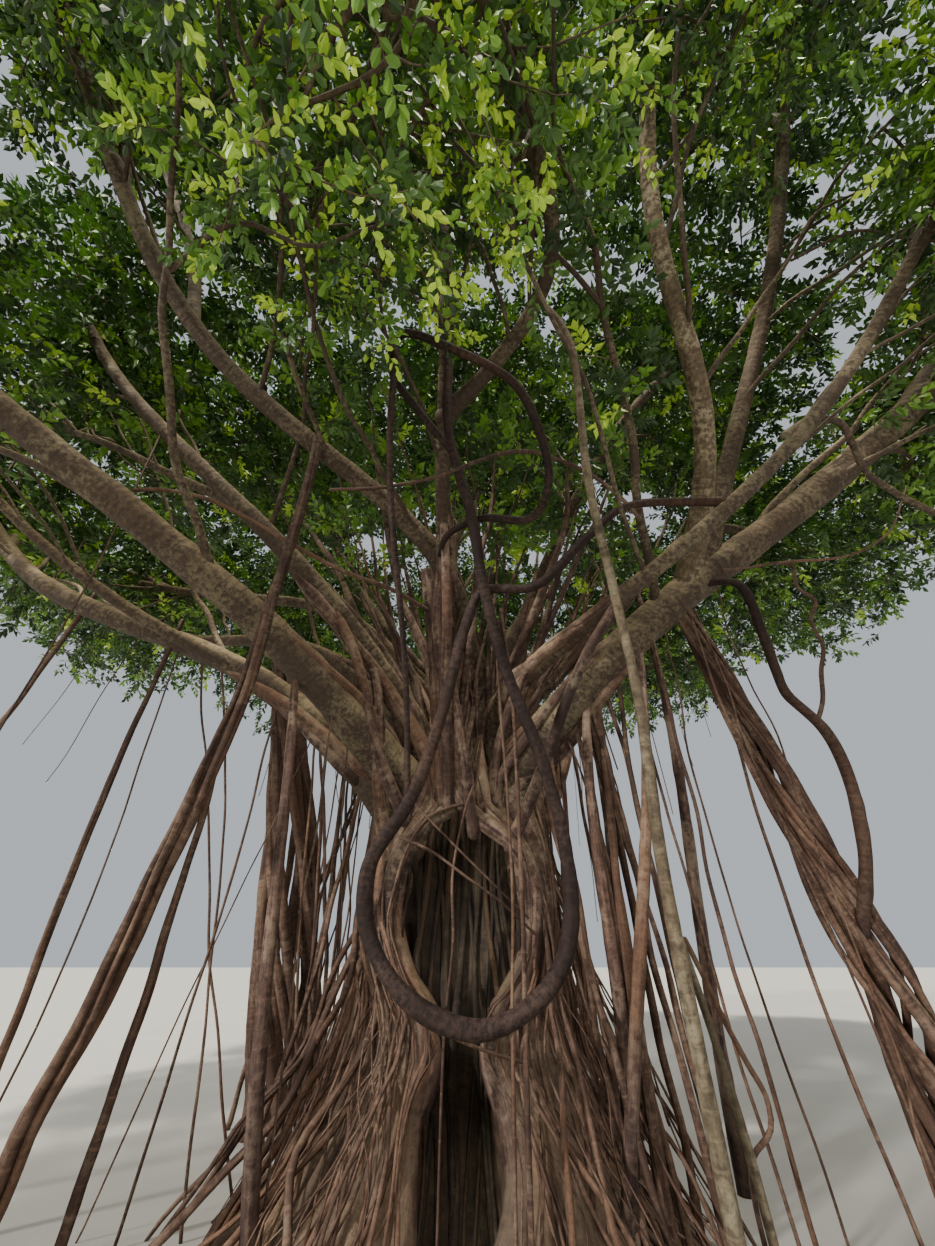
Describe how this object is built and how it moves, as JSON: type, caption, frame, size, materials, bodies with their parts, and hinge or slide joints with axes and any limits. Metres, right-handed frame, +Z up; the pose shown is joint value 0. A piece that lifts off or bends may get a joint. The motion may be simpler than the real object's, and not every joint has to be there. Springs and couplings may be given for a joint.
{
  "type": "banyan tree",
  "caption": "Spreading banyan tree: a trunk of fused stems with a hollow, long low boughs, hanging and looped aerial roots, prop roots and an open leafy crown.",
  "frame": {"origin": "middle of the flat cut under the trunk, at ground level", "axes": "+Z up; -Y is the side of the trunk with the hollow; +X to its right seen from there"},
  "size_m": [17.0176, 14.7364, 11.7456],
  "materials": {
    "bark": "rough grey-brown bark",
    "aerial_root": "reddish-brown root bark",
    "pale_root": "pale grey-tan root bark",
    "foliage": "leathery green leaves"
  },
  "bodies": {
    "root": {"bough_back": "bark", "bough_back_left": "bark", "bough_back_right": "bark", "bough_front": "bark", "bough_left_back_high": "bark", "bough_left_back_low": "bark", "bough_left_low": "bark", "bough_left_main": "bark", "bough_left_rising": "bark", "bough_left_rising_side": "bark", "bough_left_side": "bark", "bough_overhead_center": "bark", "bough_overhead_left": "bark", "bough_overhead_left_fork": "bark", "bough_overhead_right": "bark", "bough_right_back": "bark", "bough_right_front": "bark", "bough_right_inner": "bark", "bough_right_main": "bark", "bough_right_rising": "bark", "bough_top": "bark", "bough_top_left": "bark", "foliage_back": "foliage", "foliage_back_left": "foliage", "foliage_back_right": "foliage", "foliage_front_left": "foliage", "foliage_front_low": "foliage", "foliage_front_right": "foliage", "foliage_high_left": "foliage", "foliage_high_right": "foliage", "foliage_left": "foliage", "foliage_left_back": "foliage", "foliage_left_upper": "foliage", "foliage_overhead": "foliage", "foliage_overhead_left": "foliage", "foliage_overhead_right": "foliage", "foliage_right": "foliage", "foliage_right_back": "foliage", "foliage_right_upper": "foliage", "foliage_top": "foliage", "foliage_top_left": "foliage", "prop_back_left": "aerial_root", "prop_far_left": "aerial_root", "prop_left": "aerial_root", "prop_left_side": "aerial_root", "prop_mid_right": "aerial_root", "prop_outer_left": "aerial_root", "prop_pale": "pale_root", "prop_right": "aerial_root", "root_hanging_left": "aerial_root", "root_hoop_left": "aerial_root", "root_hoop_right": "aerial_root", "root_loop_arm": "aerial_root", "root_loop_left": "aerial_root", "root_loop_right": "aerial_root", "root_serpent": "aerial_root", "root_vine_upper": "aerial_root", "trunk": "bark"}
  },
  "joints": []
}
